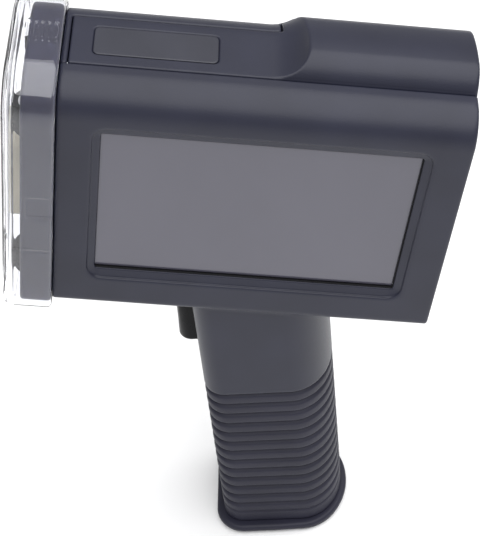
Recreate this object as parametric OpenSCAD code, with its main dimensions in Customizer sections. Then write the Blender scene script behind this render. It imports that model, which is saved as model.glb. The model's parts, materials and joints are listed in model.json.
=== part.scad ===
// Hand-held inkjet date coder: a box-shaped housing with a touch screen on one side, a printing
// nose under a clear pull-off cover, and a pistol grip that holds a slide-out battery pack.
// The printer stands on the foot of its grip, centred on the origin, so the housing leans back
// by the rake of the grip and its nose points up. Housing parts are drawn square to the housing
// (x from the front rim to the rear, z up from its floor) and set in place by on_housing().

/* [Housing] */
// Length of the housing from its front rim to its rear wall
body_len = 125; // [118:1:132]
// Width across the housing, from the screen face to the far side
body_w = 50; // [50:1:54]
// Height of the housing at its side lobes
body_h = 91.4; // [90:0.2:93]
// Height of the raised lobe at the back of the cartridge lid
crown_h = 97.7; // [96:0.1:99]
// Wall thickness of the housing shells
wall = 2.4; // [2:0.1:2.6]
// Radius of the top corner on the screen side
near_r = 11; // [9:1:13]
// Radius of the top corner on the far side
far_r = 16.5; // [14:0.5:17]
// Radius of the two bottom corners
low_r = 3; // [2:0.5:4]

/* [Grip] */
// Angle between the grip and a square to the housing, in degrees
rake = 10.45; // [8:0.05:13]
// Distance of the housing's front rim ahead of the foot's centre
rim_ahead = 65.8; // [63:0.1:68]
// Height of the housing's front lower edge above the ground
rim_height = 145.5; // [143:0.5:150]
// Width across the grip
grip_w = 40; // [39:0.5:42]
// Front of the grip, ahead of the foot's centre
grip_front = 21.5; // [21.5:0.5:23]
// Back of the grip, behind the foot's centre
grip_back = 24.5; // [24.5:0.5:26]
// Number of finger ribs on the sleeve
rib_count = 13; // [10:1:13]
// Spacing of the ribs along the grip
rib_pitch = 5.68; // [5.4:0.02:5.72]
// Depth of the groove between two ribs
rib_depth = 1.1; // [0.6:0.1:1.4]
// How far the foot stands proud of the grip
foot_flare = 3; // [2:0.5:3]
// Thickness of the foot's rim
foot_h = 4.2; // [4:0.1:4.6]

/* [Screen] */
// Length of the screen window
screen_w = 97.5; // [90:0.5:98]
// Height of the screen window
screen_h = 58.8; // [50:0.2:59]
// Depth of the bevelled recess round the screen
screen_recess = 1.6; // [1:0.1:2]

/* [Nose and cover] */
// How far the dark bezel stands ahead of the front rim
bezel_len = 10.5; // [9:0.5:11]
// How far the clear cover stands ahead of the front rim
cover_len = 16; // [15.5:0.5:17]
// Wall thickness of the clear cover
cover_wall = 2; // [1.6:0.1:2]
// Radius of the guide rollers and the encoder wheel
roller_r = 6; // [5.5:0.1:6]
// How far the rollers stand ahead of the bezel
roller_proud = 2.6; // [1:0.1:2.8]

/* [Sensor socket] */
// Radius of the bore of the sensor socket, for a 3.5 mm plug
sensor_r = 1.8; // [1.8:0.05:1.9]
// Depth of the bore of the sensor socket
sensor_depth = 14; // [12:0.5:15]

/* [Hidden] */
$fn = 64;
fit = 0.3;              // air left between parts that move past each other
seam = 0.05;            // half the gap between two shells that meet
run = 0.05;             // radial clearance of a shaft in its bore
big = 400;              // size of the blocks that cut away half of the space
half = body_w / 2;
lid_front = 2;          // front edge of the lid, from the rim
lid_step = 66;          // the lid is wider behind here, where its raised lobe starts
lid_half = 11.3;        // half the width of the lid's front panel
lid_far = 19;           // far edge of the wide part of the lid
lid_floor = 86;         // underside of the lid's edges
scoop_x = 62.5;         // where the ramp to the raised lobe starts
scoop_r = 13;           // radius of that ramp
lobe_z = body_h;        // top of the side lobes
screen_x = 13.5;        // front edge of the screen window
screen_z = 16.2;        // lower edge of the screen window
rim_side = 2.6;         // width of the recess to either side of the window
rim_end = 3.4;          // height of the recess above and below the window
rim_gap = 3.5;          // how far the bezel and its cover stand outside the housing
roller_x = -bezel_len - roller_proud + roller_r;
barrel_r = 1.9;         // radius of the lid's hinge barrel, which ends its rear wall
hinge_x = body_len - barrel_r;
hinge_z = 86.5;
badge_x = 9;            // front of the blank badge on the lid
sleeve_t = 2;           // thickness of the rubber sleeve
sleeve_low = foot_h + 0.4;
sleeve_top = 10.2 + (rib_count - 0.5) * rib_pitch + 3;
neck_z = 139;           // the grip's core is drawn up to here and trimmed by the housing
cell_r = 9.1;
cavity_x = 1.5;
cavity_front = -18;
cavity_back = 21;
cavity_r = 10.3;
battery_top = 80;
trigger_front = -29.4;
trigger_back = -13.2;
trigger_low = 99.4;
trigger_high = 133.4;
trigger_half = 6.4;
boss_t = 1;             // the boss round the trigger stands this far ahead of the grip
boss_half = 9;          // half the width of that boss
button_z = 17;
lcd_y = -half + wall + 1.3; // front of the display, just behind the glass
head_y = -6;            // the screw heads press on the posts here
sensor_y = 12;
sensor_z = 18;

// ---- placing, outlines and small helpers ----

// Sets a housing part in place over the grip
module on_housing() {
    translate([-rim_ahead, 0, rim_height]) rotate([0, rake, 0]) children();
}

// Points along an arc from angle a0 to a1
function arc(c, r, a0, a1, n = 10) =
    [for (i = [0 : n]) c + r * [cos(a0 + (a1 - a0) * i / n), sin(a0 + (a1 - a0) * i / n)]];

// Section of the housing: y across, z up, drawn inside the outer skin by the given inset
function section(inset = 0) = concat(
    arc([-half + low_r, low_r], low_r - inset, 180, 270, 6),
    arc([half - low_r, low_r], low_r - inset, 270, 360, 6),
    arc([half - far_r, lobe_z - far_r], far_r - inset, 0, 90, 12),
    arc([-half + near_r, lobe_z - near_r], near_r - inset, 90, 180, 12));

// Section of the raised lobe: a steep shoulder, a broad crown and a round fall to the far corner
crown_r = 45;
shoulder_r = 8;
fall_r = 14;
fall_at = 73;
fall_c = [-1, crown_h - crown_r] + (crown_r - fall_r) * [cos(fall_at), sin(fall_at)];
function crown_section(inset = 0) = concat(
    arc(fall_c, fall_r - inset, -10, fall_at, 12),
    arc([-1, crown_h - crown_r], crown_r - inset, fall_at + 1, 93, 8),
    arc([-lid_half + shoulder_r, crown_h - shoulder_r - 0.2], shoulder_r - inset, 95, 180, 8),
    [[-lid_half + inset, lobe_z - 12], [half - far_r, lobe_z - 12]]);

// Extrudes a y-z outline along x from x0 to x1
module along_x(points, x0, x1) {
    translate([x0, 0, 0]) rotate([90, 0, 90]) linear_extrude(x1 - x0) polygon(points);
}

// Section of the grip: square-shouldered in front and half an ellipse behind
function grip_outline(grow = 0) = let (
        a = grip_back - 9 + grow, b = grip_w / 2 + grow, r = 8 + grow, f = -grip_front - grow)
    concat(
        [for (i = [-12 : 12]) [9 + a * cos(i * 7.5), b * sin(i * 7.5)]],
        arc([f + r, b - r], r, 90, 180, 8),
        arc([f + r, -b + r], r, 180, 270, 8));

module grip_block(z0, z1, grow = 0) {
    translate([0, 0, z0]) linear_extrude(z1 - z0) polygon(grip_outline(grow));
}

// A box with rounded upright edges, centred on x and y
module round_box(x, y, z, r) {
    translate([-x / 2, -y / 2, 0]) linear_extrude(z) polygon(concat(
        arc([r, r], r, 180, 270, 4), arc([x - r, r], r, 270, 360, 4),
        arc([x - r, y - r], r, 0, 90, 4), arc([r, y - r], r, 90, 180, 4)));
}

// A slot-shaped bar along z: two round ends joined by a flat block
module stadium(front, back, r, z0, z1) {
    translate([0, 0, z0]) {
        translate([front + r, 0, 0]) cylinder(r = r, h = z1 - z0);
        translate([back - r, 0, 0]) cylinder(r = r, h = z1 - z0);
        translate([front + r, -r, 0]) cube([back - front - 2 * r, 2 * r, z1 - z0]);
    }
}

// A coil spring along +z, swept round a helix
module coil(r, wire, length, turns) {
    steps = 16;
    count = turns * steps;
    sides = 6;
    rise = length - 2 * wire;
    points = [for (i = [0 : count], j = [0 : sides - 1])
        let (a = 360 * i / steps, b = 360 * j / sides, w = r + wire * cos(b))
        [w * cos(a), w * sin(a), wire + rise * i / count + wire * sin(b)]];
    walls = [for (i = [0 : count - 1], j = [0 : sides - 1])
        let (k = (j + 1) % sides)
        [i * sides + j, i * sides + k, (i + 1) * sides + k, (i + 1) * sides + j]];
    ends = [[for (j = [0 : sides - 1]) sides - 1 - j], [for (j = [0 : sides - 1]) count * sides + j]];
    polyhedron(points, concat(walls, ends), convexity = 10);
}

// ---- housing ----

module housing_solid() {
    difference() {
        union() {
            along_x(section(), 0, body_len);
            along_x(crown_section(), lid_step, body_len);
        }
        scoop();
    }
}

// The concave ramp from the lid's panel to its raised lobe
module scoop() {
    translate([scoop_x, 0, lobe_z + 0.4 + scoop_r]) rotate([90, 0, 0])
        cylinder(r = scoop_r, h = big, center = true);
}

module housing_hollow() {
    along_x(section(wall), -1, body_len - wall);
    along_x(crown_section(wall), lid_step + 14, body_len - wall);
}

// Everything above the lid's floor within its outline, drawn in by the given gap
module lid_space(gap) {
    translate([0, 0, lid_floor]) linear_extrude(30) polygon([
        [lid_front + gap, -lid_half + gap], [body_len + 1, -lid_half + gap],
        [body_len + 1, lid_far - gap], [lid_step + gap, lid_far - gap],
        [lid_step + gap, lid_half - gap], [lid_front + gap, lid_half - gap]]);
}

// Cavity for the battery, the trigger slot and the wiring space of the grip
module grip_hollow() {
    stadium(cavity_front, cavity_back, cavity_r, -1, 96);
    translate([-13, -12, 96]) cube([28, 24, 40]);
    translate([-40, -trigger_half - fit, trigger_low - fit])
        cube([35, 2 * (trigger_half + fit), trigger_high - trigger_low + 2 * fit]);
}

module housing_shell() {
    on_housing() difference() {
        housing_solid();
        difference() {
            housing_hollow();
            screw_posts(3);
        }
        lid_opening();
        screen_opening();
        rear_openings();
        screw_posts(1.25);
        screw_wells();
        wire_way();
    }
}

module grip_core() {
    difference() {
        union() {
            grip_block(sleeve_low, sleeve_top, -sleeve_t);
            grip_block(sleeve_top, neck_z);
            trigger_boss();
        }
        on_housing() translate([-10, -half, -seam]) cube([150, body_w, 60]);
        grip_hollow();
        battery_button_space();
    }
}

// A low boss that frames the trigger on the front of the grip
module trigger_boss() {
    translate([-grip_front - boss_t, -boss_half, trigger_low - 2])
        cube([grip_front, 2 * boss_half, neck_z - trigger_low + 2]);
}

// Hole in the floor of the housing for the wires from the grip
module wire_way() {
    translate([52, -10, -1]) cube([20, 20, wall + 2]);
}

module lid_opening() {
    lid_space(0);
    translate([hinge_x, -lid_half, hinge_z]) rotate([-90, 0, 0])
        cylinder(r = barrel_r + fit, h = lid_half + lid_far);
    translate([hinge_x, -lid_half, hinge_z - barrel_r - fit])
        cube([5, lid_half + lid_far, 10]);
    lid_pin_rod();
}

module lid_pin_rod() {
    translate([hinge_x, -lid_half - 1.7, hinge_z]) rotate([-90, 0, 0])
        cylinder(r = 1, h = lid_half + lid_far + 2.9);
}

module screen_opening() {
    translate([screen_x, -half - 1, screen_z]) cube([screen_w, 10, screen_h]);
    translate([screen_x - rim_side, -half - 1, screen_z - rim_end])
        cube([screen_w + 2 * rim_side, 1 + screen_recess, screen_h + 2 * rim_end]);
}

module rear_openings() {
    translate([body_len - 4, -13, 24]) rotate([0, 90, 0]) cylinder(r = 5.6, h = 8);
    translate([body_len - 4, -4.6, 14.8]) cube([8, 14.2 - 4.4, 6.4]);
    translate([body_len - 4, sensor_y, sensor_z]) rotate([0, 90, 0]) cylinder(r = 4.3, h = 8);
    translate([body_len - 4, -13, 44]) rotate([0, 90, 0]) cylinder(r = 6.3, h = 8);
}

// Four posts that the housing screws run into, from the far side
post_places = [[9, 5.5], [70, 80], [116, 10], [116, 80]];
module at_posts(y) {
    for (p = post_places) translate([p[0], y, p[1]]) rotate([-90, 0, 0]) children();
}

module screw_posts(r) {
    at_posts(-half + wall - 0.5) cylinder(r = r, h = body_w - 2 * wall + (r < 2 ? -2 : 1));
}

// Wells that the screw heads sit at the bottom of
module screw_wells() {
    at_posts(head_y) cylinder(r = 2.5, h = 40);
}

// The half of space on the screen side of an upright plane at y
module screen_side(y) {
    translate([-big / 2, y - big, -big / 2]) cube([big, big, 2 * big]);
}

module left_shell() {
    color("#2b3038") intersection() {
        housing_shell();
        screen_side(-lid_half - seam);
    }
}

module right_shell() {
    color("#2b3038") difference() {
        housing_shell();
        screen_side(-lid_half + seam);
    }
}

module left_grip() {
    color("#2b3038") intersection() {
        grip_core();
        screen_side(-seam);
    }
}

module right_grip() {
    color("#2b3038") difference() {
        grip_core();
        screen_side(seam);
    }
}

module housing_screws() {
    color("silver") on_housing() {
        at_posts(head_y - 12) cylinder(r = 1.25, h = 13);
        at_posts(head_y) cylinder(r = 2.3, h = 1.6);
    }
}

// ---- grip ----

module grip_sleeve() {
    color("#24272d") difference() {
        union() {
            grip_block(sleeve_low, 9.6, 0.2);
            grip_block(9.6, sleeve_top, -rib_depth);
            for (i = [0 : rib_count - 1])
                grip_block(10.9 + i * rib_pitch, 10.9 + (i + 0.72) * rib_pitch);
        }
        translate([0, 0, -1]) grip_block(0, sleeve_top + 5, -sleeve_t);
        battery_button_space();
    }
}

module battery_foot() {
    color("#24272d") difference() {
        union() {
            grip_block(0.8, foot_h, foot_flare);
            stadium(cavity_front + fit, cavity_back - fit, cavity_r - fit, foot_h - 0.1, foot_h + 1.6);
        }
        grip_block(0, 1.2, foot_flare - 1.5);
    }
}

module foot_pad() {
    color("#17191c") grip_block(0, 1.2, foot_flare - 1.5);
}

module battery_case() {
    color("#1d1f22") difference() {
        stadium(cavity_front + fit, cavity_back - fit, cavity_r - fit, foot_h + 1.6, battery_top);
        for (x = [cell_x(0), cell_x(1)]) translate([x, 0, 8.9]) cylinder(r = cell_r + run, h = 67.2);
        translate([14, -3, battery_top - 1.5]) cube([3, 6, 2]);
        translate([-14, -3, battery_top - 1.5]) cube([3, 6, 2]);
    }
}

function cell_x(i) = cavity_x + (i == 0 ? -1 : 1) * (cell_r + 0.15);

module battery_cells() {
    color("#3f6f9f") for (i = [0, 1]) translate([cell_x(i), 0, 10]) {
        cylinder(r = cell_r, h = 64);
        translate([0, 0, 64]) cylinder(r = 3, h = 1);
    }
}

module battery_terminal() {
    color("#d8c27a") {
        stadium(cavity_front + fit, cavity_back - fit, cavity_r - fit, 84, 90);
        for (x = [-12.5, 15.5]) translate([x, 0, 80.4]) cylinder(r = 1, h = 3.7);
    }
}

// Push button in the far side of the grip that frees the battery
module at_button(y) {
    translate([cavity_x, y, button_z]) rotate([-90, 0, 0]) children();
}

module battery_button_space() {
    at_button(11.5) cylinder(r = 5.6, h = 4.7);
    at_button(16) cylinder(r = 4.3, h = 8);
}

module battery_button() {
    color("#17191c") {
        at_button(14.6) cylinder(r = 5.2, h = 1.3);
        at_button(14.6) cylinder(r = 4, h = grip_w / 2 - 14.2);
    }
}

module battery_spring() {
    color("silver") at_button(11.7) coil(2.6, 0.3, 2.8, 3);
}

// ---- trigger ----

module trigger() {
    color("#0c0d0f") difference() {
        union() {
            translate([trigger_front + trigger_half, 0, trigger_low + 5])
                cylinder(r = trigger_half, h = trigger_high - trigger_low - 5);
            intersection() {
                translate([trigger_front + trigger_half, 0, trigger_low + trigger_half])
                    sphere(r = trigger_half);
                translate([-40, -10, trigger_low]) cube([40, 20, 8]);
            }
            translate([trigger_front + trigger_half, -trigger_half, trigger_low + 5])
                cube([trigger_back - trigger_front - trigger_half, 2 * trigger_half,
                    trigger_high - trigger_low - 5]);
        }
        translate([-14.6, 0, 118]) rotate([0, 90, 0]) cylinder(r = 3.6, h = 8);
    }
}

module trigger_spring() {
    color("silver") translate([-14.4, 0, 118]) rotate([0, 90, 0]) coil(2.6, 0.35, 13, 7);
}

module microswitch() {
    color("#1a1a1a") translate([-6.4, -3.2, 101]) {
        cube([8, 6.4, 12]);
        translate([-2.2, 2.2, 5]) cube([2.3, 2, 3]);
    }
}

// ---- screen and electronics ----

module screen_glass() {
    color("#4a4550") on_housing() translate([screen_x - 2, -half + wall + seam, screen_z - 2])
        cube([screen_w + 4, 1.1, screen_h + 4]);
}

module lcd_panel() {
    color("#101216") on_housing() translate([screen_x + 1, lcd_y, screen_z + 1])
        cube([screen_w - 2, 2.8, screen_h - 2]);
}

module lcd_bracket() {
    color("#8d9298") on_housing() difference() {
        translate([screen_x - 1, lcd_y, screen_z - 1]) cube([screen_w + 2, 4.6, screen_h + 2]);
        translate([screen_x + 0.9, lcd_y - 1, screen_z + 0.9]) cube([screen_w - 1.8, 3.9, screen_h - 1.8]);
        translate([screen_x + 8, lcd_y - 1, screen_z + 8]) cube([screen_w - 16, 8, screen_h - 16]);
    }
}

module main_board() {
    color("#1f6b45") on_housing() difference() {
        translate([16, -half + 9, 12]) cube([92, 1.6, 64]);
        for (x = [21, 103], z = [16, 72]) translate([x, -half + 8, z]) rotate([-90, 0, 0])
            cylinder(r = 1.6, h = 4);
    }
}

module board_chips() {
    color("#202226") on_housing() {
        translate([40, -half + 10.6, 40]) cube([14, 1.4, 14]);
        translate([62, -half + 10.6, 44]) cube([12, 1.2, 8]);
        translate([84, -half + 10.6, 30]) cube([10, 1.4, 10]);
        for (i = [0 : 3]) translate([80 + i * 6, -half + 10.6, 60]) rotate([-90, 0, 0])
            cylinder(r = 2, h = 3);
    }
}

module usb_socket() {
    color("#b9bdc2") on_housing() translate([body_len - 15.5, -4.3, 15.1]) {
        difference() {
            cube([15, 9.2, 5.8]);
            translate([3, 0.5, 0.5]) cube([13, 8.2, 4.8]);
        }
        translate([2.9, 1.2, 1.6]) cube([10, 6.8, 1.1]);
    }
}

module charge_socket() {
    color("#26282b") on_housing() translate([body_len - 12.4, -13, 24]) rotate([0, 90, 0]) {
        difference() {
            cylinder(r = 5.3, h = 12);
            translate([0, 0, 2.5]) cylinder(r = 2.85, h = 10);
        }
        translate([0, 0, 2.4]) cylinder(r = 1, h = 8.6);
    }
}

module sensor_socket() {
    color("#c9a75a") on_housing() translate([body_len - sensor_depth - 2.4, sensor_y, sensor_z])
        rotate([0, 90, 0]) difference() {
            cylinder(r = 4, h = sensor_depth + 2);
            translate([0, 0, 2]) cylinder(r = sensor_r, h = sensor_depth + 1);
        }
}

module power_button() {
    color("#0c0d0f") on_housing() translate([body_len - 4.2, -13, 44]) rotate([0, 90, 0]) {
        cylinder(r = 7.6, h = 1.4);
        cylinder(r = 6, h = 5.2);
    }
}

module power_switch() {
    color("#1a1a1a") on_housing() translate([body_len - 12.5, -18, 39]) cube([5, 10, 10]);
}

module power_spring() {
    color("silver") on_housing() translate([body_len - 7.4, -13, 44]) rotate([0, 90, 0])
        coil(4, 0.3, 3, 3);
}

// ---- nose ----

// The bezel's section follows the housing, grown outwards
function nose_outline(grow) = section(-grow);

module nose_bezel() {
    color("#111316") on_housing() difference() {
        along_x(nose_outline(rim_gap - cover_wall - fit - 0.2), -bezel_len, -0.2);
        along_x(section(wall), -bezel_len + 5.5, 1);
        translate([-bezel_len - 1, -17, 8]) cube([5.9, 34, 64]);
        translate([-bezel_len - 5, -15, 20]) cube([14, 30, 40]);
        roller_spaces(1);
        axles();
    }
}

roller_y = 17.5;
roller_z_top = 76;
roller_z_low = 15;
roller_h = 10;
module at_rollers() {
    for (y = [-roller_y, roller_y], z = [roller_z_top, roller_z_low])
        translate([roller_x, y, z]) children();
}

// Room for the rollers, with the given air above and below each
module roller_spaces(air) {
    at_rollers() translate([0, 0, -roller_h / 2 - air])
        cylinder(r = roller_r + 0.8, h = roller_h + 2 * air);
}

module axles() {
    at_rollers() translate([0, 0, -roller_h / 2 - 3]) cylinder(r = 1.5, h = roller_h + 6);
}

module roller_axles() {
    color("silver") on_housing() axles();
}

module roller(y, z, r) {
    on_housing() translate([roller_x, y, z - roller_h / 2]) difference() {
        cylinder(r = r, h = roller_h);
        translate([0, 0, -1]) cylinder(r = 1.5 + run, h = roller_h + 2);
    }
}

module encoder_wheel() {
    color("#d9dadd") {
        roller(-roller_y, roller_z_top, roller_r - 1.5);
    }
}

module encoder_tyre() {
    color("#1a1b1d") on_housing() translate([roller_x, -roller_y, roller_z_top - roller_h / 2])
        difference() {
            cylinder(r = roller_r, h = roller_h);
            translate([0, 0, -1]) cylinder(r = roller_r - 1.5, h = roller_h + 2);
        }
}

module guide_roller_top() {
    color("#1a1b1d") roller(roller_y, roller_z_top, roller_r);
}

module guide_roller_near() {
    color("#1a1b1d") roller(-roller_y, roller_z_low, roller_r);
}

module guide_roller_far() {
    color("#1a1b1d") roller(roller_y, roller_z_low, roller_r);
}

module encoder_sensor() {
    color("#26282b") on_housing() translate([0.4, -roller_y - 3, roller_z_top - 3]) {
        cube([5, 6, 6]);
    }
}

module print_plate() {
    color("#b4b8bd") on_housing() difference() {
        translate([-bezel_len + 3.6, -16.8, 8.2]) cube([1.2, 33.6, 63.6]);
        translate([-bezel_len, -8, 26]) cube([10, 16, 26]);
        roller_spaces(3.3);
    }
}

module protective_cover() {
    color("#e8f0f4", 0.35) on_housing() difference() {
        along_x(nose_outline(rim_gap), -cover_len, 0);
        along_x(nose_outline(rim_gap - cover_wall), -cover_len + cover_wall, 1);
    }
}

module nozzle_pad() {
    color("#d9cfae") on_housing() translate([-cover_len + cover_wall, -9, 22]) cube([2.4, 18, 34]);
}

// ---- cartridge lid ----

module cartridge_lid() {
    color("#2b3038") on_housing() difference() {
        union() {
            intersection() {
                difference() {
                    housing_solid();
                    housing_hollow();
                }
                lid_space(fit);
            }
            translate([hinge_x, -lid_half + fit, hinge_z]) rotate([-90, 0, 0])
                cylinder(r = barrel_r, h = lid_half + lid_far - 2 * fit);
            translate([lid_front + 5, -4, body_h - 6.5]) cube([1.6, 8, 5]);
        }
        translate([hinge_x, 0, hinge_z]) rotate([90, 0, 0]) cylinder(r = 1 + run, h = 80, center = true);
        translate([badge_x, -6.5, body_h - 0.6]) cube([38, 13, 2]);
    }
}

module lid_badge() {
    color("#30353d") on_housing() translate([badge_x + 0.1, -6.4, body_h - 0.6]) cube([37.8, 12.8, 0.5]);
}

module lid_pin() {
    color("silver") on_housing() lid_pin_rod();
}

// ---- cartridge ----

ink_w = 19;
module ink_frame() {
    on_housing() translate([4, 0, 14]) children();
}

module cartridge_body() {
    color("#2c2f33") ink_frame() {
        translate([0, -ink_w / 2, 0]) cube([50, ink_w, 52]);
        translate([-8.2, -6.5, 14]) cube([8.3, 13, 22]);
    }
}

module cartridge_cap() {
    color("#3a7f5b") ink_frame() translate([-0.5, -ink_w / 2 - 0.4, 52]) cube([51, ink_w + 0.8, 3]);
}

module nozzle_plate() {
    color("#c8b37a") ink_frame() translate([-9, -5, 16]) cube([0.8, 10, 18]);
}

module cartridge_contacts() {
    color("#c98f3a") ink_frame() translate([50, -6, 8]) cube([0.4, 12, 22]);
}

module cartridge_cradle() {
    color("#3a3d42") on_housing() difference() {
        translate([0.6, -ink_w / 2 - 1.5, 9.5]) cube([58.5, ink_w + 3, 49.5]);
        translate([3, -ink_w / 2 - 0.5, 13.7]) cube([54, ink_w + 1, 60]);
        translate([-1, -8, 24]) cube([8, 16, 60]);
        translate([-1, -ink_w, 62]) cube([80, 60, 20]);
    }
}

module contact_block() {
    color("#17191c") on_housing() translate([54.9, -7, 20]) cube([2.1, 14, 26]);
}

module cartridge_latch() {
    color("#3f6f9f") on_housing() difference() {
        union() {
            translate([58, 0, 66]) rotate([90, 0, 0]) cylinder(r = 2.2, h = 8, center = true);
            translate([54.9, -4, 69.4]) cube([4.7, 8, 1.8]);
            translate([56.4, -4, 66]) cube([3.2, 8, 5]);
        }
        translate([58, 0, 66]) rotate([90, 0, 0]) cylinder(r = 1 + run, h = 30, center = true);
    }
}

module latch_pin() {
    color("silver") on_housing() translate([58, 0, 66]) rotate([90, 0, 0])
        cylinder(r = 1, h = 16, center = true);
}

left_shell();
right_shell();
left_grip();
right_grip();
grip_sleeve();
nose_bezel();
print_plate();
screen_glass();
lcd_panel();
lcd_bracket();
main_board();
board_chips();
cartridge_cradle();
contact_block();
usb_socket();
charge_socket();
sensor_socket();
microswitch();
battery_terminal();
housing_screws();
lid_pin();
roller_axles();
encoder_sensor();
protective_cover();
nozzle_pad();
cartridge_lid();
lid_badge();
cartridge_body();
cartridge_cap();
nozzle_plate();
cartridge_contacts();
cartridge_latch();
latch_pin();
trigger();
trigger_spring();
power_button();
power_spring();
power_switch();
encoder_wheel();
encoder_tyre();
guide_roller_top();
guide_roller_near();
guide_roller_far();
battery_foot();
battery_case();
battery_cells();
foot_pad();
battery_button();
battery_spring();
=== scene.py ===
"""The looks of a hand-held inkjet date coder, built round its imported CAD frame.

The visible shells are meshed from signed distance fields, which keep every wall, gap and
opening at the CAD's place and give each edge its moulded radius. Housing parts are described in
millimetres, square to the housing: x from the front rim to the rear, y across with the screen
on the negative side, z up from the housing's floor. Grip parts are described standing upright.
"""

import json
import math

import bpy
import numpy as np
from mathutils import Matrix, Vector


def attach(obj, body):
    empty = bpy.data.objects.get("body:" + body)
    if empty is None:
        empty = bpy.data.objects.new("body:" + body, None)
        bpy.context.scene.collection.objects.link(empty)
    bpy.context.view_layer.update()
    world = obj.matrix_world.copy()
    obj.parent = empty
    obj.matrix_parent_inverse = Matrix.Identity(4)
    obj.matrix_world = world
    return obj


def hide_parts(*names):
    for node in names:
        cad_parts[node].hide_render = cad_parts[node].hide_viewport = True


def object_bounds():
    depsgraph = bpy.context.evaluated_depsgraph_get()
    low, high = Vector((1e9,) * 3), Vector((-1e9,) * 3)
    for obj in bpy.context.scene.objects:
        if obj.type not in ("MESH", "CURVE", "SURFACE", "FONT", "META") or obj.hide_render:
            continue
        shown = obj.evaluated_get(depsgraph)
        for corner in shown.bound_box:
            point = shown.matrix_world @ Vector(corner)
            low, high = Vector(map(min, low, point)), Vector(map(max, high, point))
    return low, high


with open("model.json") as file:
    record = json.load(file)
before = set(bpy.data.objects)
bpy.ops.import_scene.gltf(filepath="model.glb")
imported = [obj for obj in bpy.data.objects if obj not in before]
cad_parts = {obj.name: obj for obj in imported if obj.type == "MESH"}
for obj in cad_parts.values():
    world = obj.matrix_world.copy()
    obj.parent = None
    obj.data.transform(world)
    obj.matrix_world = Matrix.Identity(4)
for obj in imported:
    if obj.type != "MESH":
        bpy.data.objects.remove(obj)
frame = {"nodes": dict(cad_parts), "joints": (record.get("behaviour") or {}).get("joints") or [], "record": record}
CAD_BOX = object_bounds()
JOINTS = {j["name"]: j for j in frame["joints"]}
SLOTS = {m["slot"]: m for m in frame["record"]["materials"]}
NODES = frame["nodes"]

MM = 0.001

# ---- the housing's own frame, from the joints ----

BACK = -Vector(JOINTS["cover_pull"]["axis"]).normalized()
UP = Vector(JOINTS["cartridge_lift"]["axis"]).normalized()
HINGE_X = 123.1
HINGE_Z = 86.5
CORNER = Vector(JOINTS["lid_swing"]["pos_m"]) / MM - BACK * HINGE_X - UP * HINGE_Z
HOUSING = Matrix.Translation(CORNER) @ Matrix((BACK, (0, 1, 0), UP)).transposed().to_4x4()
UPRIGHT = Matrix.Identity(4)


def span(node, place=HOUSING):
    """Lowest and highest corner of a CAD node, in millimetres in the given frame."""
    mesh = NODES[node].data
    co = np.zeros(len(mesh.vertices) * 3)
    mesh.vertices.foreach_get("co", co)
    to_local = np.array(place.inverted())
    local = (co.reshape(-1, 3) / MM) @ to_local[:3, :3].T + to_local[:3, 3]
    return Vector(local.min(0)), Vector(local.max(0))


HALF = span("right_shell")[1].y
LENGTH = span("right_shell")[1].x
CROWN = span("cartridge_lid")[1].z
TOP = CROWN - 6.3
WALL = 2.4
NEAR_R = 11         # radius of the upper corner on the screen side
FAR_R = 16.5        # radius of the upper corner on the far side
LOW_R = 3           # radius of the lower corners
EDGE = 0.5          # how far an opening's edge is rounded
AIR = 0.3           # gap between parts that move past each other

# ---- fields: each gives the distance outside a shape, in millimetres ----


def cut(a, b, r=0.0):
    """What two shapes share, with its edge rounded to radius r."""
    if not r:
        return np.maximum(a, b)
    out = np.hypot(np.maximum(a + r, 0), np.maximum(b + r, 0))
    return np.minimum(-r, np.maximum(a, b)) + out


def join(a, b, r=0.0):
    """Two shapes together, with a fillet of radius r between them."""
    return -cut(-a, -b, r)


def slab(u, u0, u1):
    return np.abs(u - (u0 + u1) / 2) - (u1 - u0) / 2


def rounded_box(u, v, u0, u1, v0, v1, r):
    a = slab(u, u0, u1) + r
    b = slab(v, v0, v1) + r
    return np.minimum(np.maximum(a, b), 0) + np.hypot(np.maximum(a, 0), np.maximum(b, 0)) - r


def disc(u, v, u0, v0, r):
    return np.hypot(u - u0, v - v0) - r


def section(y, z):
    """The housing across its length, with a different radius at its top corners."""
    r = np.where(z < TOP / 2, LOW_R, np.where(y < 0, NEAR_R, FAR_R))
    return rounded_box(y, z, -HALF, HALF, 0, TOP, r)


LID_HALF = 11.3
CROWN_Y = -1        # where the lobe is highest
CROWN_R = 45
FALL_R = 14         # radius of the lobe's fall to the far side
FALL_AT = math.radians(73)
SHOULDER_R = 8
RAMP_X = 62.5       # where the ramp to the lobe starts
RAMP_R = 13
RAMP_LENGTH = 14
END_R = 0.9         # rounding of the front rim and the rear wall


def crown_section(y, z):
    """The raised lobe: a rounded shoulder, a broad crown and a round fall to the far corner."""
    centre = CROWN - CROWN_R
    fall_y = CROWN_Y + (CROWN_R - FALL_R) * math.cos(FALL_AT)
    fall_z = centre + (CROWN_R - FALL_R) * math.sin(FALL_AT)
    angle = np.arctan2(z - centre, y - CROWN_Y)
    on_fall = (angle < FALL_AT) & (angle > -math.pi / 2)
    arc = np.where(on_fall, disc(y, z, fall_y, fall_z, FALL_R), disc(y, z, CROWN_Y, centre, CROWN_R))
    return cut(arc, -LID_HALF - y, SHOULDER_R)


def housing_outside(x, y, z):
    """The box of the housing, and the lobe that a concave ramp leads up to."""
    body = section(y, z)
    ramp = join(body, RAMP_X + RAMP_R - x, RAMP_R)
    lobe = cut(ramp, crown_section(y, z), 0.4)
    return cut(join(body, lobe), slab(x, 0, LENGTH), END_R)


def housing_inside(x, y, z):
    """The hollow of the housing, one wall inside its skin and open at the nose."""
    lobe = cut(crown_section(y, z) + WALL, LOBE_FRONT + RAMP_LENGTH - x)
    return cut(join(section(y, z) + WALL, lobe), x - LENGTH + WALL, 1)


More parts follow.
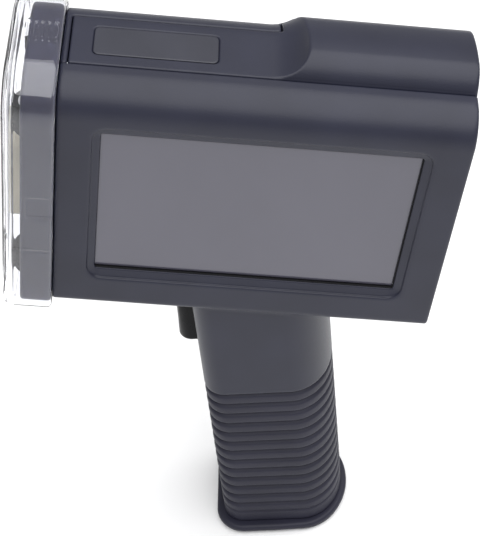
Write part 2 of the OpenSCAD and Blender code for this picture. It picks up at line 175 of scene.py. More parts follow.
LID_FRONT = 2
LOBE_FRONT = 66     # the lid is wider behind here
LID_FAR = 19
LID_FLOOR = 86
BARREL_R = 1.9      # radius of the lid's hinge barrel
LID_PIN_R = 1.05


def lid_space(x, y, z, air):
    """What the lid takes up in the top of the housing, drawn in by the given air."""
    front = rounded_box(x, y, LID_FRONT + air, 2 * LENGTH, -LID_HALF + air, LID_HALF - air, 0.6)
    wide = rounded_box(x, y, LOBE_FRONT + air, 2 * LENGTH, -LID_HALF + air, LID_FAR - air, 0.6)
    return cut(join(front, wide), LID_FLOOR - z)


GRIP_WALL_X = 9     # the grip is half an ellipse behind here
GRIP_FRONT = span("grip_sleeve", UPRIGHT)[0].x
GRIP_BACK = span("grip_sleeve", UPRIGHT)[1].x
GRIP_HALF = span("right_grip", UPRIGHT)[1].y
GRIP_R = 8
FOOT_FLARE = 3


def stand(x, z):
    """Housing coordinates turned into upright ones."""
    return (
        x * BACK.x + z * UP.x + CORNER.x,
        x * BACK.z + z * UP.z + CORNER.z,
    )


def grip_section(x, y):
    """The grip from above: square-shouldered in front and half an ellipse behind."""
    front = rounded_box(x, y, GRIP_FRONT, 200, -GRIP_HALF, GRIP_HALF, GRIP_R)
    a = GRIP_BACK - GRIP_WALL_X
    u = (x - GRIP_WALL_X) / a
    v = y / GRIP_HALF
    k = np.maximum(np.hypot(u, v), 0.05)
    slope = np.hypot(u / a, v / GRIP_HALF) / k
    back = (k - 1) / np.maximum(slope, 1e-3)
    return np.where(x > GRIP_WALL_X, back, front)


def stadium(x, y, front, back, r):
    return np.hypot(x - np.clip(x, front + r, back - r), y) - r


SLEEVE_LOW, SLEEVE_TOP = (span("grip_sleeve", UPRIGHT)[0].z, span("grip_sleeve", UPRIGHT)[1].z)
SLEEVE_T = 2
TRIGGER_LOW, TRIGGER_HIGH = (span("trigger", UPRIGHT)[0].z, span("trigger", UPRIGHT)[1].z)
TRIGGER_FRONT = span("trigger", UPRIGHT)[0].x
TRIGGER_BACK = span("trigger", UPRIGHT)[1].x
TRIGGER_HALF = span("trigger", UPRIGHT)[1].y
BOSS_T = 1          # the boss round the trigger stands this far ahead of the grip
BOSS_HALF = 9
BUTTON_X = 1.5      # the battery's release button, in the far side of the grip
BUTTON_Z = 17
BATTERY_ROOM = (-18, 21, 10.3)
BATTERY_ROOM_TOP = 96
WIRE_ROOM = (-13, 15, -12, 12)
WIRE_ROOM_Z = (95, 136)
FLOOR_FILLET = 5    # between the housing's floor and the grip
SCREEN_X = 13.5
SCREEN_Z = 16.2
SCREEN_W = 97.5
SCREEN_H = 58.8
BEVEL = (2.6, 2.6, 3.4, 3.4)    # width of the recess at the left, right, foot and head
BEVEL_R = 5
LIP = 0.9           # depth of the upright step at the recess's edge
RECESS = 1.6        # depth of the whole recess
POSTS = ((9, 5.5), (70, 80), (116, 10), (116, 80))
POST_R = 3.2
WELL_R = 2.5        # the screw heads sit at the bottom of wells
HEAD_Y = -6
CHARGE_HOLE = (-13, 24, 5.6)
POWER_HOLE = (-13, 44, 6.3)
SENSOR_HOLE = (12, 18, 4.3)
USB_HOLE = (-4.6, 5.2, 14.8, 21.2)
REAR_DEPTH = 4
WIRE_WAY = (52, 72, -10, 10)    # hole in the floor, for the wires from the grip


def grip_outside(x, y, z):
    """The smooth neck, and the core that the sleeve covers."""
    gx, gz = stand(x, z)
    outline = grip_section(gx, y)
    neck = cut(outline, SLEEVE_TOP + 0.25 - gz, 0.7)
    core = cut(outline + SLEEVE_T, SLEEVE_LOW - gz)
    boss = cut(
        rounded_box(gx, y, GRIP_FRONT - BOSS_T, 0, -BOSS_HALF, BOSS_HALF, 4),
        TRIGGER_LOW - 2 - gz + 0.4 * (GRIP_FRONT - gx), 1.2,
    )
    return join(join(neck, boss, 1), core)


def grip_inside(x, y, z):
    """Room in the grip for the battery, the wires, the trigger and the release button."""
    gx, gz = stand(x, z)
    battery = cut(stadium(gx, y, *BATTERY_ROOM), gz - BATTERY_ROOM_TOP)
    wiring = cut(rounded_box(gx, y, *WIRE_ROOM, 2), slab(gz, *WIRE_ROOM_Z))
    slot = cut(
        rounded_box(y, gz, -TRIGGER_HALF - AIR, TRIGGER_HALF + AIR,
                    TRIGGER_LOW - AIR, TRIGGER_HIGH + AIR, 2),
        gx + 5,
    )
    button = cut(disc(gx, gz, BUTTON_X, BUTTON_Z, 5.6), 11.5 - y)
    return join(join(battery, wiring), join(slot, button))


def screen_recess(x, y, z):
    """A bevelled frame that narrows from the skin to the window, then the window itself."""
    depth = np.clip((y + HALF - LIP) / (RECESS - LIP), 0, 1)
    left, right, low, high = (b * (1 - 0.85 * depth) for b in BEVEL)
    ring = rounded_box(
        x, z, SCREEN_X - left, SCREEN_X + SCREEN_W + right,
        SCREEN_Z - low, SCREEN_Z + SCREEN_H + high, BEVEL_R - 4 * depth,
    )
    window = rounded_box(x, z, SCREEN_X, SCREEN_X + SCREEN_W, SCREEN_Z, SCREEN_Z + SCREEN_H, 0.5)
    return join(cut(ring * 0.6, y + HALF - RECESS), cut(window, y + HALF - 6))


GLASS_EDGE = 1.6        # how far the glass reaches past the window
SHADOW_STRIP = (0.45, 0.7)    # width of the black strip of painted shadow at the rear and lower edge


def screen_glass(x, y, z):
    """The touch glass, just behind the wall that the window is cut through."""
    sheet = rounded_box(
        x, z, SCREEN_X - GLASS_EDGE, SCREEN_X + SCREEN_W + GLASS_EDGE,
        SCREEN_Z - GLASS_EDGE, SCREEN_Z + SCREEN_H + GLASS_EDGE, 1.5,
    )
    return cut(sheet, slab(y, -HALF + WALL + 0.12, -HALF + WALL + 1.1), 0.2)


def painted_shadow_strip(x, y, z):
    """A black strip of painted shadow along the lower and rear edges of the window, where the gap behind the
    recessed glass lies in shade.
    """
    outer = rounded_box(
        x, z, SCREEN_X + 0.05, SCREEN_X + SCREEN_W - 0.05,
        SCREEN_Z + 0.05, SCREEN_Z + SCREEN_H - 0.05, 0.6,
    )
    inner = cut(x - SCREEN_X - SCREEN_W + SHADOW_STRIP[0], SCREEN_Z + SHADOW_STRIP[1] - z)
    strip = cut(outer, -inner)
    return cut(strip, slab(y, -HALF + RECESS + 0.15, -HALF + WALL + 0.1))


def rear_openings(x, y, z):
    """Holes in the rear wall for the power button and the three sockets."""
    holes = join(disc(y, z, *CHARGE_HOLE), disc(y, z, *POWER_HOLE))
    holes = join(holes, disc(y, z, *SENSOR_HOLE))
    holes = join(holes, rounded_box(y, z, *USB_HOLE, 1))
    return cut(holes, LENGTH - REAR_DEPTH - x)


def posts(x, z, r):
    return np.minimum.reduce([disc(x, z, px, pz, r) for px, pz in POSTS])


def shell(x, y, z):
    """The whole moulding, before it is parted into its two halves."""
    outside = join(housing_outside(x, y, z), cut(grip_outside(x, y, z), z - WALL), FLOOR_FILLET)
    hollow = cut(housing_inside(x, y, z), -posts(x, z, POST_R))
    d = cut(outside, -hollow, EDGE)
    d = cut(d, -cut(grip_inside(x, y, z), z - WALL - 1))
    d = cut(d, -lid_space(x, y, z, 0), EDGE)
    d = cut(d, -cut(disc(x, z, HINGE_X, HINGE_Z, BARREL_R + AIR), slab(y, -LID_HALF, LID_FAR)))
    d = cut(d, -screen_recess(x, y, z), EDGE)
    d = cut(d, -rear_openings(x, y, z), EDGE)
    d = cut(d, -cut(posts(x, z, WELL_R), HEAD_Y - y), 0.4)
    return cut(d, -cut(rounded_box(x, y, *WIRE_WAY, 3), slab(z, -1, WALL + 1)))


PARTING = 0.08      # half the seam between the two halves


def shell_side(sign):
    """One half of the moulding: the screen side for a sign of 1, the far side for -1."""
    def field(x, y, z):
        plane = sign * (y - np.where(z > 0.0, -LID_HALF, 0.0))
        return cut(shell(x, y, z), plane + PARTING, 0.35)
    return field


BADGE = (9, 47, -6.5, 6.5)


def lid(x, y, z):
    """The lid with its hinge barrel, its catch and the bed of its label plate."""
    d = cut(housing_outside(x, y, z), -housing_inside(x, y, z), EDGE)
    d = cut(d, lid_space(x, y, z, AIR), EDGE)
    barrel = cut(disc(x, z, HINGE_X, HINGE_Z, BARREL_R), slab(y, -LID_HALF + AIR, LID_FAR - AIR), 0.3)
    tab = cut(rounded_box(x, z, LID_FRONT + 5, LID_FRONT + 6.6, TOP - 6.5, TOP - 1.5, 0.5),
              slab(y, -4, 4), 0.4)
    d = join(join(d, barrel, 0.4), tab)
    bed = cut(rounded_box(x, y, *BADGE, 2), TOP - 0.55 - z)
    return cut(cut(d, -bed, 0.25), -disc(x, z, HINGE_X, HINGE_Z, LID_PIN_R))


def badge(x, y, z):
    """The blank label plate, in its bed with a fine gap all round."""
    front, back, near, far = BADGE
    plate = rounded_box(x, y, front + 0.25, back - 0.25, near + 0.25, far - 0.25, 1.8)
    return cut(plate, slab(z, TOP - 0.5, TOP + 0.02), 0.2)


# ---- grip parts ----

RIB_LOW = 10.9
RIB_PITCH = 5.68
RIB_COUNT = 13
RIB_DEPTH = 1.1
RIB_SHARE = 0.72    # part of the pitch that a rib takes up
RIB_SHARP = 5       # a higher power gives narrower grooves


def sleeve(x, y, z):
    """The rubber sleeve, with a groove between each two finger ribs."""
    across = (z - RIB_LOW) / RIB_PITCH - RIB_SHARE / 2
    from_rib = np.abs(across - np.clip(np.round(across), 0, RIB_COUNT - 1))
    wave = np.cos(np.clip(from_rib, 0, 0.5) * math.pi) ** 2
    groove = RIB_DEPTH * (1 - wave) ** RIB_SHARP
    at_ends = np.clip((RIB_LOW - z) / 0.8, 0, 1)
    outer = (grip_section(x, y) + groove * (1 - at_ends) + 0.12 * (1 - wave)) * 0.8
    inner = grip_section(x, y) + SLEEVE_T - 0.05
    d = cut(cut(outer, slab(z, SLEEVE_LOW, SLEEVE_TOP), 0.5), -inner)
    return cut(d, -cut(disc(x, z, BUTTON_X, BUTTON_Z, 4.3), 10 - y), 0.5)


FOOT_LOW = span("battery_foot", UPRIGHT)[0].z
FOOT_TOP = 4.2


def foot(x, y, z):
    """The flared foot that ends the battery pack, waisted above its rim."""
    outline = grip_section(x, y) - FOOT_FLARE + np.clip(x / GRIP_BACK, 0, 1)
    rim = cut(outline, slab(z, FOOT_LOW, FOOT_TOP), 1.5)
    front, back, r = BATTERY_ROOM
    plug = stadium(x, y, front + AIR, back - AIR, r - AIR)
    plug = cut(plug, slab(z, 3, FOOT_TOP + 1.6), 0.4)
    pocket = cut(outline + 1.5, z - 1.2)
    return cut(join(rim, plug, 0.5), -pocket, 0.2)


FINGER_R = 110      # radius of the trigger's hollow
SPRING_Z = 118
SPRING_END = -14.6


def trigger(x, y, z):
    """A round-nosed trigger with a shallow hollow for the finger."""
    r = TRIGGER_HALF
    bar = rounded_box(x, y, TRIGGER_FRONT, TRIGGER_BACK, -r, r, 4.8)
    d = cut(bar, slab(z, TRIGGER_LOW, TRIGGER_HIGH), 1.8)
    middle = (TRIGGER_LOW + TRIGGER_HIGH) / 2 + 2
    finger = disc(x, z, TRIGGER_FRONT - FINGER_R + 0.5, middle, FINGER_R)
    d = cut(d, -finger, 1.5)
    return cut(d, -cut(disc(y, z, 0, SPRING_Z, 3.6), SPRING_END - x), 0.3)


BUTTON_Y = 14.6     # inner face of the battery's release button
BUTTON_R = 4
BUTTON_DISH = 14


def battery_button(x, y, z):
    """A round button with a dished face, and the collar that keeps it in."""
    cap = cut(disc(x, z, BUTTON_X, BUTTON_Z, BUTTON_R), slab(y, BUTTON_Y, GRIP_HALF + 0.4), 0.8)
    out = y - GRIP_HALF - BUTTON_DISH + 0.4
    dish = np.sqrt((x - BUTTON_X) ** 2 + (z - BUTTON_Z) ** 2 + out**2) - BUTTON_DISH
    base = cut(disc(x, z, BUTTON_X, BUTTON_Z, BUTTON_R + 1.2), slab(y, BUTTON_Y, BUTTON_Y + 1.3), 0.3)
    return join(cut(cap, -dish, 0.3), base)


# ---- nose and cover ----

BEZEL_FRONT = span("nose_bezel")[0].x
COVER_FRONT = span("protective_cover")[0].x
RIM_GAP = 3.5       # how far the cover stands outside the housing
COVER_WALL = 2
ROLLER_X = (span("guide_roller_top")[0].x + span("guide_roller_top")[1].x) / 2
ROLLER_R = 6
ROLLER_H = span("guide_roller_top")[1].z - span("guide_roller_top")[0].z
ROLLER_Y = 17.5
ROLLER_Z = (15, 76)
ROLLERS = [(y, z) for y in (-ROLLER_Y, ROLLER_Y) for z in ROLLER_Z]
AXLE_R = 1.55
PLATE_BED = (-17, 17, 8, 72)
PRINT_WINDOW = (-15, 15, 20, 60)


def bezel(x, y, z):
    """The dark frame round the nose, with a bed for the print plate and room for the rollers."""
    d = cut(section(y, z) - RIM_GAP + COVER_WALL + AIR + 0.2, slab(x, BEZEL_FRONT, -0.2), 1.2)
    d = cut(d, -cut(section(y, z) + WALL, BEZEL_FRONT + 5.5 - x), 0.4)
    pocket = cut(rounded_box(y, z, *PLATE_BED, 3), x - BEZEL_FRONT - 4.9)
    slot = rounded_box(y, z, *PRINT_WINDOW, 3)
    d = cut(cut(d, -pocket, 0.7), -slot, 0.5)
    groove = slab(section(y, z) + 3.2, -0.4, 0.4)
    d = cut(d, -cut(groove, x - BEZEL_FRONT - 0.5), 0.3)
    for wheel_y, wheel_z in ROLLERS:
        room = cut(disc(x, y, ROLLER_X, wheel_y, ROLLER_R + 0.8),
                   slab(z, wheel_z - ROLLER_H / 2 - 1, wheel_z + ROLLER_H / 2 + 1))
        d = cut(d, -room, 0.4)
    return d


CUP_WALL = 1.4
TAB = (-4.4, 2.2)       # across the top, the ridged tab that the cover is pulled by
CATCH = (41.2, 50.7)    # up the sides, the catches that hold it
LEDGE = (26.4, 27.2)


def cover(x, y, z):
    """The clear cup over the nose: stepped at its front, with a grip tab and two side catches."""
    skin = section(y, z) - RIM_GAP
    d = cut(skin, slab(x, COVER_FRONT, 0), 1.6)
    step = cut(skin + 0.6, slab(x, COVER_FRONT, COVER_FRONT + 8), 2)
    d = join(cut(d, COVER_FRONT + 3.6 - x, 0.3), step)
    d = cut(d, -cut(skin + CUP_WALL, COVER_FRONT + CUP_WALL - x, 1.2), 0.35)
    tab = cut(rounded_box(x, y, COVER_FRONT + 5, -1.2, *TAB, 0.8), TOP - z)
    ridges = slab(np.mod(x, 2.0), 0.55, 1.45)
    d = cut(d, -cut(cut(tab, -0.5 - skin), -ridges), 0.15)
    catch = cut(rounded_box(x, z, COVER_FRONT + 7.5, -0.8, *CATCH, 0.6), 20 - np.abs(y))
    d = cut(d, -cut(catch, -0.45 - skin), 0.15)
    ledge = cut(slab(z, *LEDGE), 20 - np.abs(y))
    return cut(d, -cut(ledge, -0.3 - skin), 0.1)


PAD = (-9, 9, 22, 56)


def nozzle_pad(x, y, z):
    """The soft pad that seals the nozzles while the cover is on, with a raised lip."""
    pad = rounded_box(y, z, *PAD, 3)
    d = cut(pad, slab(x, COVER_FRONT + COVER_WALL, COVER_FRONT + COVER_WALL + 2.4), 0.6)
    lip = slab(rounded_box(y, z, -6.5, 6.5, 24.5, 53.5, 2), -0.6, 0.6)
    return cut(d, -cut(lip, COVER_FRONT + COVER_WALL + 1.6 - x), 0.3)


def roller(wheel_y, wheel_z, ribs):
    """A rubber guide roller with shallow grooves round it."""
    def field(x, y, z):
        out = np.hypot(x - ROLLER_X, y - wheel_y)
        height = z - wheel_z
        ring = 0.25 * (0.5 - 0.5 * np.cos(height * 2 * math.pi * ribs / ROLLER_H))
        d = cut(out - ROLLER_R + ring, np.abs(height) - ROLLER_H / 2, 0.7)
        return cut(d, AXLE_R - out, 0.2)
    return field


POWER_Y, POWER_Z = POWER_HOLE[:2]
POWER_BACK = LENGTH - 4.2
POWER_FRONT = LENGTH + 1
POWER_R = 6
POWER_DISH = 22


def power_button(x, y, z):
    """A round button with a dished face, in which the power sign is sunk."""
    across = y - POWER_Y
    up = z - POWER_Z
    r = np.hypot(across, up)
    cap = cut(r - POWER_R, slab(x, POWER_BACK, POWER_FRONT), 0.9)
    dish = np.sqrt((x - POWER_FRONT - POWER_DISH + 0.6) ** 2 + r**2) - POWER_DISH
    base = cut(r - POWER_R - 1.6, slab(x, POWER_BACK, POWER_BACK + 1.4), 0.3)
    sunk = POWER_FRONT - 0.9 - x
    ring = cut(slab(r, 2.6, 3.2), sunk)
    bar = cut(rounded_box(across, up, -0.3, 0.3, 0.6, 3.6, 0.2), sunk)
    gap = cut(rounded_box(across, up, -0.9, 0.9, 1, 5, 0.2), POWER_FRONT - 2 - x)
    mark = join(cut(ring, -gap), bar)
    return cut(join(cut(cap, -dish, 0.4), base), -mark, 0.1)


TANK_HALF = 9.5
TANK_X = (4, 54)
TANK_Z = (14, 66)
TANK_PANEL = (12, 49, 20, 60)
SNOUT = (-6.5, 6.5, 28, 50)
SNOUT_X = (-4.2, 5)


def cartridge_case(x, y, z):
    """The ink cartridge: a tank with sunk sides, and the snout that carries its nozzles."""
    tank = cut(rounded_box(x, y, *TANK_X, -TANK_HALF, TANK_HALF, 1.2), slab(z, *TANK_Z), 0.8)
    panel = rounded_box(x, z, *TANK_PANEL, 2)
    groove = cut(panel, TANK_HALF - np.abs(y))
    tank = cut(tank, -cut(groove, TANK_HALF - 0.6 - np.abs(y)), 0.3)
    snout = cut(rounded_box(y, z, *SNOUT, 1.5), slab(x, *SNOUT_X), 0.6)
    return join(tank, snout, 1.2)


CAP = (3.5, 54.5, -9.9, 9.9)
CAP_GRIP = (14, 40, -6, 6)
CAP_Z = (66, 69)


def cartridge_cap(x, y, z):
    """The cartridge's lid, with grooves to grip it by."""
    plate = cut(rounded_box(x, y, *CAP, 1.4), slab(z, *CAP_Z), 0.7)
    grip = cut(rounded_box(x, y, *CAP_GRIP, 2), CAP_Z[1] - 0.6 - z)
    ridges = slab(np.mod(x, 3.0), 0.6, 2.4)
    return cut(plate, -cut(grip, -ridges), 0.25)


# ---- meshing ----


def net(field, low, high, step):
    """Vertices and faces of the surface where the field is nought, one vertex a cell."""
    axes = [np.arange(a - 1.5 * s, b + 2.5 * s, s) for a, b, s in zip(low, high, step)]
    grid = np.meshgrid(*axes, indexing="ij", sparse=True)
    d = field(*grid)
    cells = [n - 1 for n in d.shape]
    total = np.zeros((cells[0] * cells[1] * cells[2], 3))
    count = np.zeros(len(total))
    quads = []
    for axis in range(3):
        b, c = (axis + 1) % 3, (axis + 2) % 3
        first = np.take(d, range(d.shape[axis] - 1), axis)
        second = np.take(d, range(1, d.shape[axis]), axis)
        at = np.array(np.nonzero((first < 0) != (second < 0)))
        one, two = first[tuple(at)], second[tuple(at)]
        point = at.astype(float)
        point[axis] += one / (one - two)
        ring = []
        for db, dc in ((0, 0), (-1, 0), (-1, -1), (0, -1)):
            cell = at.copy()
            cell[b] += db
            cell[c] += dc
            flat = (cell[0] * cells[1] + cell[1]) * cells[2] + cell[2]
            ring.append(flat)
            for k in range(3):
                total[:, k] += np.bincount(flat, point[k], len(total))
            count += np.bincount(flat, minlength=len(total))
        ring = np.array(ring).T
        ring[one >= 0] = ring[one >= 0][:, ::-1]
        quads.append(ring)
    quads = np.concatenate(quads)
    used = np.nonzero(count)[0]
    index = np.zeros(len(total), int)
    index[used] = np.arange(len(used))
    start = np.array([a[0] for a in axes])
    points = total[used] / count[used, None] * np.array(step) + start
    return settle(field, points, min(step)), index[quads]


def settle(field, points, step):
    """Moves each vertex on to the surface, along the field's slope."""
    tiny = 0.1
    home = points.copy()
    for _ in range(4):
        x, y, z = points.T
        d = field(x, y, z)
        slope = np.stack([
            (field(x + tiny, y, z) - field(x - tiny, y, z)) / (2 * tiny),
            (field(x, y + tiny, z) - field(x, y - tiny, z)) / (2 * tiny),
            (field(x, y, z + tiny) - field(x, y, z - tiny)) / (2 * tiny),
        ], axis=1)
        size = np.maximum((slope**2).sum(1), 0.1)
        points = points - slope * (d / size)[:, None]
        moved = points - home
        reach = np.linalg.norm(moved, axis=1, keepdims=True)
        points = home + moved * np.minimum(1, 0.7 * step / np.maximum(reach, 1e-9))
    return points


def piece(name, field, low, high, step, place, body, slot, material, *replaced):
    """A meshed piece, set in place, riding on its body and standing for its CAD nodes."""
    points, quads = net(field, low, high, step)
    to_row = np.array(place)
    points = (points @ to_row[:3, :3].T + to_row[:3, 3]) * MM
    mesh = bpy.data.meshes.new(name)
    mesh.vertices.add(len(points))
    mesh.vertices.foreach_set("co", points.ravel())
    mesh.loops.add(quads.size)
    mesh.loops.foreach_set("vertex_index", quads.ravel())
    mesh.polygons.add(len(quads))
    mesh.polygons.foreach_set("loop_start", np.arange(0, quads.size, 4))
    mesh.polygons.foreach_set("use_smooth", np.ones(len(quads), bool))
    mesh.update(calc_edges=True)
    mesh.materials.append(material)
    obj = bpy.data.objects.new(name, mesh)
    bpy.context.scene.collection.objects.link(obj)
    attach(obj, body)
    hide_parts(*replaced)
    return obj


# ---- materials ----


def shader(slot):
    """A new material that starts from the slot's colour, and its nodes by short names."""
    mat = bpy.data.materials.new(slot)
    mat.use_nodes = True
    nodes = mat.node_tree.nodes
    bsdf = nodes["Principled BSDF"]
    color = tuple(SLOTS[slot]["base_color"][:3]) + (1,)
    bsdf.inputs["Base Color"].default_value = color
    return mat, nodes, mat.node_tree.links, bsdf, color


def noise(nodes, links, scale, detail=3.0, stretch=(1, 1, 1)):
    """Noise over the piece's own coordinates, stretched along an axis where asked."""
    place = nodes.new("ShaderNodeTexCoord")
    mapping = nodes.new("ShaderNodeMapping")
    mapping.inputs["Scale"].default_value = stretch
    texture = nodes.new("ShaderNodeTexNoise")
    texture.inputs["Scale"].default_value = scale
    texture.inputs["Detail"].default_value = detail
    links.new(place.outputs["Object"], mapping.inputs["Vector"])
    links.new(mapping.outputs["Vector"], texture.inputs["Vector"])
    return texture.outputs["Fac"]


def spread(nodes, links, source, low, high):
    """Maps a texture's middle range to a span of values."""
    remap = nodes.new("ShaderNodeMapRange")
    remap.inputs["From Min"].default_value = 0.3
    remap.inputs["From Max"].default_value = 0.7
    remap.inputs["To Min"].default_value = low
    remap.inputs["To Max"].default_value = high
    links.new(source, remap.inputs["Value"])
    return remap.outputs["Result"]


def tinted(nodes, links, source, color, change):
    """The colour, a little darker and lighter with the texture."""
    mix = nodes.new("ShaderNodeMix")
    mix.data_type = "RGBA"
    dark = tuple(c * (1 - change) for c in color[:3]) + (1,)
    pale = tuple(min(1, c * (1 + change)) for c in color[:3]) + (1,)
    mix.inputs["A"].default_value = dark
    mix.inputs["B"].default_value = pale
    links.new(spread(nodes, links, source, 0, 1), mix.inputs["Factor"])
    return mix.outputs["Result"]


def bump(nodes, links, source, strength, distance, below=None):
    node = nodes.new("ShaderNodeBump")
    node.inputs["Strength"].default_value = strength
    node.inputs["Distance"].default_value = distance
    links.new(source, node.inputs["Height"])
    if below is not None:
        links.new(below, node.inputs["Normal"])
    return node.outputs["Normal"]


def moulded(slot, grain, rough, depth, shine=0.5, change=0.12, metal=0.0, stretch=(1, 1, 1)):
    """Moulded or drawn stock: fine grain in the relief, slow drift in colour and gloss."""
    mat, nodes, links, bsdf, color = shader(slot)
    slow = noise(nodes, links, 45, 2)
    fine = noise(nodes, links, grain, 4, stretch)
    links.new(tinted(nodes, links, slow, color, change), bsdf.inputs["Base Color"])
    links.new(spread(nodes, links, fine, rough * 0.88, rough * 1.12), bsdf.inputs["Roughness"])
    wave = bump(nodes, links, slow, 0.05, 0.0004)
    links.new(bump(nodes, links, fine, depth, 0.00006, wave), bsdf.inputs["Normal"])
    bsdf.inputs["Specular IOR Level"].default_value = shine
    bsdf.inputs["Metallic"].default_value = metal
    return mat


def clear_plastic(slot):
    """Water-clear moulded plastic, with faint flow marks."""
    mat, nodes, links, bsdf, _ = shader(slot)
    bsdf.inputs["Base Color"].default_value = (0.96, 0.965, 0.99, 1)
    bsdf.inputs["Transmission Weight"].default_value = 1.0
    bsdf.inputs["IOR"].default_value = 1.2
    bsdf.inputs["Coat Weight"].default_value = 0.75
    bsdf.inputs["Coat IOR"].default_value = 1.5
    bsdf.inputs["Coat Roughness"].default_value = 0.02
    flow = noise(nodes, links, 60, 2, (1, 1, 2.5))
    links.new(spread(nodes, links, flow, 0.0, 0.02), bsdf.inputs["Roughness"])
    return mat


def touch_glass(slot):
    """Dark glass over a display that is off, with the faint smears of handling."""
    mat, nodes, links, bsdf, color = shader(slot)
    smear = noise(nodes, links, 30, 3, (1, 1, 0.5))
    dust = noise(nodes, links, 2600, 2)
    links.new(tinted(nodes, links, smear, color, 0.05), bsdf.inputs["Base Color"])
    links.new(spread(nodes, links, smear, 0.10, 0.17), bsdf.inputs["Roughness"])
    links.new(bump(nodes, links, dust, 0.02, 0.00002), bsdf.inputs["Normal"])
    bsdf.inputs["Coat Weight"].default_value = 0.4
    bsdf.inputs["Coat Roughness"].default_value = 0.05
    return mat


def circuit(slot):
    """Solder mask over copper: faint tracks and pads under a satin green."""
    mat, nodes, links, bsdf, color = shader(slot)
    place = nodes.new("ShaderNodeTexCoord")
    brick = nodes.new("ShaderNodeTexBrick")
    brick.inputs["Scale"].default_value = 180
    brick.inputs["Mortar Size"].default_value = 0.012
    brick.inputs["Color1"].default_value = tuple(c * 0.85 for c in color[:3]) + (1,)
    brick.inputs["Color2"].default_value = color
    brick.inputs["Mortar"].default_value = tuple(min(1, c * 1.5) for c in color[:3]) + (1,)
    turn = nodes.new("ShaderNodeMapping")
    turn.inputs["Rotation"].default_value = (math.pi / 2, 0, 0)
    links.new(place.outputs["Object"], turn.inputs["Vector"])
    links.new(turn.outputs["Vector"], brick.inputs["Vector"])
    links.new(brick.outputs["Color"], bsdf.inputs["Base Color"])
    fine = noise(nodes, links, 1500, 3)
    links.new(spread(nodes, links, fine, 0.3, 0.42), bsdf.inputs["Roughness"])
    links.new(bump(nodes, links, brick.outputs["Fac"], 0.1, 0.00005), bsdf.inputs["Normal"])
    return mat


MATERIALS = {
    "housing_plastic": moulded("housing_plastic", 2600, 0.38, 0.5, 0.3),
    "bezel_plastic": moulded("bezel_plastic", 2200, 0.34, 0.05, 0.3),
    "grip_rubber": moulded("grip_rubber", 2000, 0.5, 0.45, 0.28),
    "gloss_black": moulded("gloss_black", 900, 0.3, 0.04, 0.1),
    "screen": touch_glass("screen"),
    "panel_dark": moulded("panel_dark", 1800, 0.5, 0.3),
    "badge": moulded("badge", 2400, 0.34, 0.15, 0.4),
    "bracket_steel": moulded("bracket_steel", 1500, 0.3, 0.2, metal=1.0, stretch=(0.06, 1, 1)),
    "circuit_board": circuit("circuit_board"),
    "inner_plastic": moulded("inner_plastic", 1800, 0.5, 0.3),
    "contact_gold": moulded("contact_gold", 1200, 0.25, 0.1, metal=1.0),
    "clear_cover": clear_plastic("clear_cover"),
    "seal_silicone": moulded("seal_silicone", 1500, 0.55, 0.3),
    "ink_case": moulded("ink_case", 1500, 0.3, 0.15),
    "ink_cap": moulded("ink_cap", 1500, 0.32, 0.15),
    "wheel_plastic": moulded("wheel_plastic", 1500, 0.35, 0.15),
    "roller_rubber": moulded("roller_rubber", 1600, 0.6, 0.5, 0.3),
    "battery_wrap": moulded("battery_wrap", 1400, 0.45, 0.3),
    "cell_wrap": moulded("cell_wrap", 700, 0.22, 0.05),
}

for node in NODES.values():
    for holder in node.material_slots:
        holder.material = MATERIALS[holder.material.name.split(".")[0]]

# ---- the pieces ----

FINE = (0.5, 0.45, 0.45)
GRIP_BASE = -CORNER.z * UP.z + 8    # below the grip's lowest point, in the housing's frame


def housing_piece(name, field, low, high, step, body, slot, *replaced):
    return piece(name, field, low, high, step, HOUSING, body, slot, MATERIALS[slot], *replaced)


def upright_piece(name, field, low, high, step, body, slot, *replaced):
    return piece(name, field, low, high, step, UPRIGHT, body, slot, MATERIALS[slot], *replaced)


# The screen side has the finer mesh, for the recess round its window.
SHELL_STEP = (0.9, 0.4, 0.72)
FAR_STEP = (0.9, 0.72, 0.72)

housing_piece("shell_screen_side", shell_side(1), (-1, -HALF, GRIP_BASE), (LENGTH, 1, TOP),
              SHELL_STEP, "housing", "housing_plastic", "left_shell", "left_grip")
housing_piece("shell_far_side", shell_side(-1), (-1, -LID_HALF, GRIP_BASE), (LENGTH, HALF, CROWN),
              FAR_STEP, "housing", "housing_plastic", "right_shell", "right_grip")
housing_piece("lid_cover", lid, (LID_FRONT, -LID_HALF, HINGE_Z - 3), (LENGTH, LID_FAR, CROWN),
              FINE, "lid", "housing_plastic", "cartridge_lid")
housing_piece("touch_glass", screen_glass,
              (SCREEN_X - 2, -HALF + WALL, SCREEN_Z - 2),
              (SCREEN_X + SCREEN_W + 2, -HALF + WALL + 1.2, SCREEN_Z + SCREEN_H + 2),
              (1.0, 0.2, 1.0), "housing", "screen", "screen_glass")
# Painted shadow: a black strip along the window's lower and rear edges stands in for the shade in the gap behind
# them.
housing_piece("window_shadow_strip", painted_shadow_strip,
              (SCREEN_X - 1, -HALF + RECESS, SCREEN_Z - 1),
              (SCREEN_X + SCREEN_W + 1, -HALF + WALL + 0.2, SCREEN_Z + SCREEN_H + 1),
              (0.3, 0.15, 0.3), "housing", "gloss_black")
housing_piece("lid_label", badge, (BADGE[0], BADGE[2], TOP - 1), (BADGE[1], BADGE[3], TOP + 1),
              (0.4, 0.4, 0.13), "lid", "badge", "lid_badge")
upright_piece("ribbed_sleeve", sleeve, (GRIP_FRONT, -GRIP_HALF, SLEEVE_LOW),
              (GRIP_BACK, GRIP_HALF, SLEEVE_TOP), (0.7, 0.7, 0.4),
              "housing", "grip_rubber", "grip_sleeve")
upright_piece("flared_foot", foot, (GRIP_FRONT - FOOT_FLARE, -GRIP_HALF - FOOT_FLARE, FOOT_LOW),
              (GRIP_BACK + FOOT_FLARE, GRIP_HALF + FOOT_FLARE, FOOT_TOP + 2), (0.6, 0.6, 0.3),
              "battery", "grip_rubber", "battery_foot")
